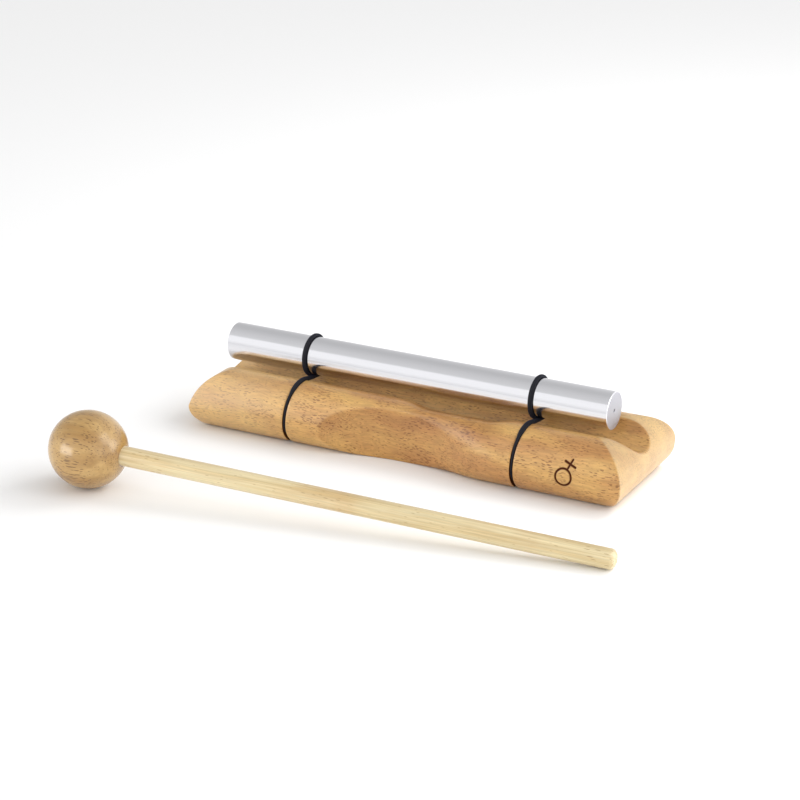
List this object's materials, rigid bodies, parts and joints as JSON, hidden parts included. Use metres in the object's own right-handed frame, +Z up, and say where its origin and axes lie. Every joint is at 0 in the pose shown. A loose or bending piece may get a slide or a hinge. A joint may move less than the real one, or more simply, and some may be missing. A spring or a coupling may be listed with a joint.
{
  "type": "chime bar",
  "caption": "Solid metal chime rod hung in elastic cord loops over a channelled wooden resonator block, with a ball-headed wooden mallet.",
  "frame": {"origin": "middle of the block's flat underside, on the surface it stands on", "axes": "+X along the chime rod to the right in the picture, +Y to the far side, away from the mallet, +Z up"},
  "size_m": [0.2332, 0.145, 0.041],
  "materials": {
    "block_wood": "satin lacquered tan hardwood with fine dark pores",
    "polished_aluminium": "polished, slightly brushed",
    "elastic_cord": "black braided cover over a rubber core",
    "head_wood": "glossy lacquered turned hardwood",
    "dowel_wood": "pale lacquered dowel"
  },
  "bodies": {
    "base": {"base_block": "block_wood"},
    "suspension": {"cord_left": "elastic_cord", "cord_right": "elastic_cord"},
    "chime": {"chime_rod": "polished_aluminium"},
    "mallet": {"mallet_head": "head_wood", "mallet_handle": "dowel_wood"}
  },
  "joints": [
    {"name": "rod_bounce", "type": "slide", "parent": "base", "child": "suspension", "axis": [0, 0, 1], "range_m": [-0.004, 0.008], "stiffness_N_per_m": 800, "springref_m": 0.00118, "deforming": ["cord_left", "cord_right"]},
    {"name": "rod_slide", "type": "slide", "parent": "suspension", "child": "chime", "axis": [1, 0, 0], "range_m": [-0.021, 0.029]},
    {"name": "mallet_lift", "type": "slide", "parent": "base", "child": "mallet", "axis": [0, 0, 1], "range_m": [0, 0.12]}
  ]
}
